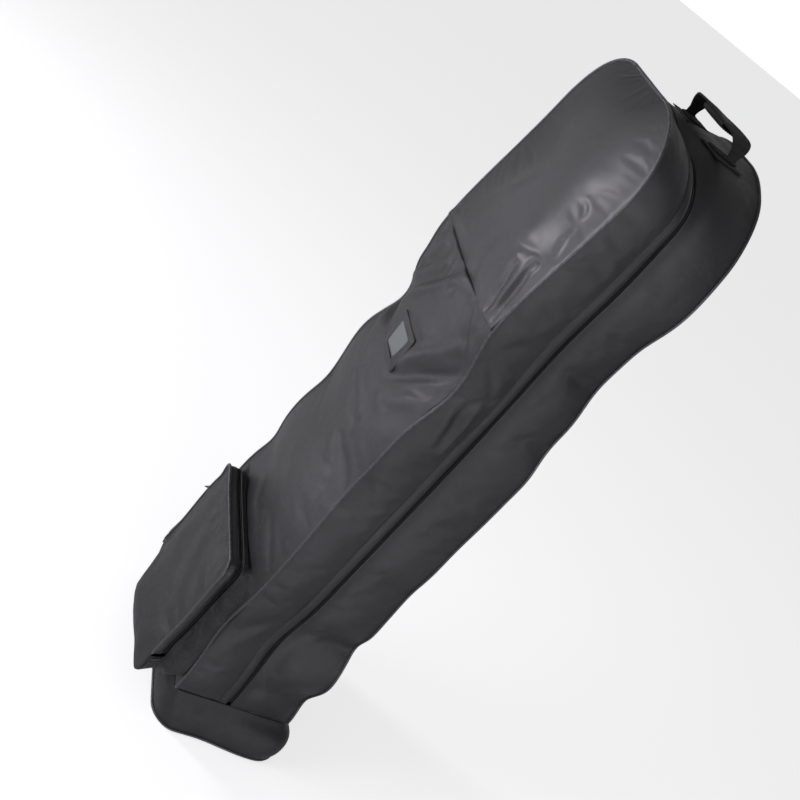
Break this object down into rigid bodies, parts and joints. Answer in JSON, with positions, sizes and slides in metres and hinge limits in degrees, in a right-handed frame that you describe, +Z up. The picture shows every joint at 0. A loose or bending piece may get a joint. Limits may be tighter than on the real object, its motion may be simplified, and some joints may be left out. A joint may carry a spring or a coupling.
{
  "type": "golf travel case",
  "caption": "Tall soft travel case for golf clubs, with a zipped fold-down lid, padded head, shoe pocket, name window and handle.",
  "frame": {"origin": "centre of the base sheet's underside, on the surface that the case stands on", "axes": "+Z up along the case to its head, +X to the right seen from the front, -Y towards the front"},
  "size_m": [0.3574, 0.3025, 1.2573],
  "materials": {
    "shell_fabric": "matte",
    "head_fabric": "satin",
    "base_fabric": "matte",
    "piping": "satin",
    "foam": "matte",
    "board": "matte",
    "zip_tape": "matte",
    "zip_coil": "satin",
    "slider_metal": "satin",
    "webbing": "matte",
    "grip": "matte",
    "buckle": "satin",
    "card_frame": "matte",
    "card_paper": "matte",
    "clear_sheet": "gloss"
  },
  "bodies": {
    "case": {"base_panel": "base_fabric", "base_board": "board", "base_boot": "base_fabric", "base_piping": "piping", "back_panel": "shell_fabric", "body_gusset": "shell_fabric", "rear_piping": "piping", "head_foam_back": "foam", "head_foam_top": "foam", "body_zip_tape": "zip_tape", "body_zip_coil": "zip_coil", "fold_seam": "piping", "handle_feet": "webbing", "handle_patches": "base_fabric", "tie_socket_lower": "buckle", "tie_socket_upper": "buckle", "tie_webbing_lower": "webbing", "tie_webbing_upper": "webbing", "tie_anchors_lower": "webbing", "tie_anchors_upper": "webbing"},
    "lid": {"front_panel": "shell_fabric", "head_panel": "head_fabric", "head_panel_hem": "head_fabric", "lid_gusset": "shell_fabric", "front_piping": "piping", "zip_hem": "head_fabric", "head_foam_front": "foam", "lid_zip_tape": "zip_tape", "lid_zip_coil": "zip_coil", "card_frame": "card_frame", "card_window": "clear_sheet", "pocket_gusset": "shell_fabric", "pocket_fold_seam": "piping", "pocket_zip_tape": "zip_tape", "pocket_zip_coil": "zip_coil"},
    "pocket_flap": {"pocket_panel": "shell_fabric", "pocket_flap_gusset": "shell_fabric", "pocket_piping": "piping", "pocket_flap_tape": "zip_tape", "pocket_flap_coil": "zip_coil"},
    "handle": {"handle_strap": "webbing", "handle_grip": "grip"},
    "upper_slider": {"slider_upper": "slider_metal"},
    "lower_slider": {"slider_lower": "slider_metal"},
    "upper_pull": {"slider_pull_upper": "slider_metal"},
    "lower_pull": {"slider_pull_lower": "slider_metal"},
    "pocket_slider": {"pocket_slider": "slider_metal"},
    "pocket_pull": {"pocket_pull": "slider_metal"},
    "name_card": {"name_card": "card_paper"},
    "upper_tongue": {"tie_tongue_upper": "buckle"},
    "lower_tongue": {"tie_tongue_lower": "buckle"}
  },
  "joints": [
    {"name": "lid_hinge", "type": "hinge", "parent": "case", "child": "lid", "pos_m": [0, -0.1108, 0.0793], "axis": [1, 0, 0], "range_deg": [0, 90]},
    {"name": "pocket_flap_hinge", "type": "hinge", "parent": "lid", "child": "pocket_flap", "pos_m": [0, -0.1785, 0.10008], "axis": [1, 0, 0], "range_deg": [0, 70]},
    {"name": "handle_hinge", "type": "hinge", "parent": "case", "child": "handle", "pos_m": [0, 0.04, 1.224], "axis": [1, 0, 0], "range_deg": [-60, 60]},
    {"name": "upper_slider_slide", "type": "slide", "parent": "case", "child": "upper_slider", "axis": [0, 0, 1], "range_m": [0, 0.46]},
    {"name": "lower_slider_slide", "type": "slide", "parent": "case", "child": "lower_slider", "axis": [0, 0, 1], "range_m": [-0.48, 0]},
    {"name": "upper_pull_hinge", "type": "hinge", "parent": "upper_slider", "child": "upper_pull", "pos_m": [-0.15965, -0.014, 0.64], "axis": [0, 1, 0], "range_deg": [0, 170]},
    {"name": "lower_pull_hinge", "type": "hinge", "parent": "lower_slider", "child": "lower_pull", "pos_m": [-0.15965, -0.014, 0.585], "axis": [0, 1, 0], "range_deg": [0, 170]},
    {"name": "pocket_slider_slide", "type": "slide", "parent": "lid", "child": "pocket_slider", "axis": [0.0499, 0.1003, 0.9937], "range_m": [-0.118, 0.026]},
    {"name": "pocket_pull_hinge", "type": "hinge", "parent": "pocket_slider", "child": "pocket_pull", "pos_m": [-0.12631, -0.14455, 0.26213], "axis": [-0.005, 0.995, -0.1002], "range_deg": [-38, 130]},
    {"name": "name_card_slide", "type": "slide", "parent": "lid", "child": "name_card", "axis": [0, 0, 1], "range_m": [0, 0.052]},
    {"name": "upper_tongue_slide", "type": "slide", "parent": "case", "child": "upper_tongue", "axis": [1, 0, 0], "range_m": [0, 0.02]},
    {"name": "lower_tongue_slide", "type": "slide", "parent": "case", "child": "lower_tongue", "axis": [1, 0, 0], "range_m": [0, 0.02]}
  ]
}
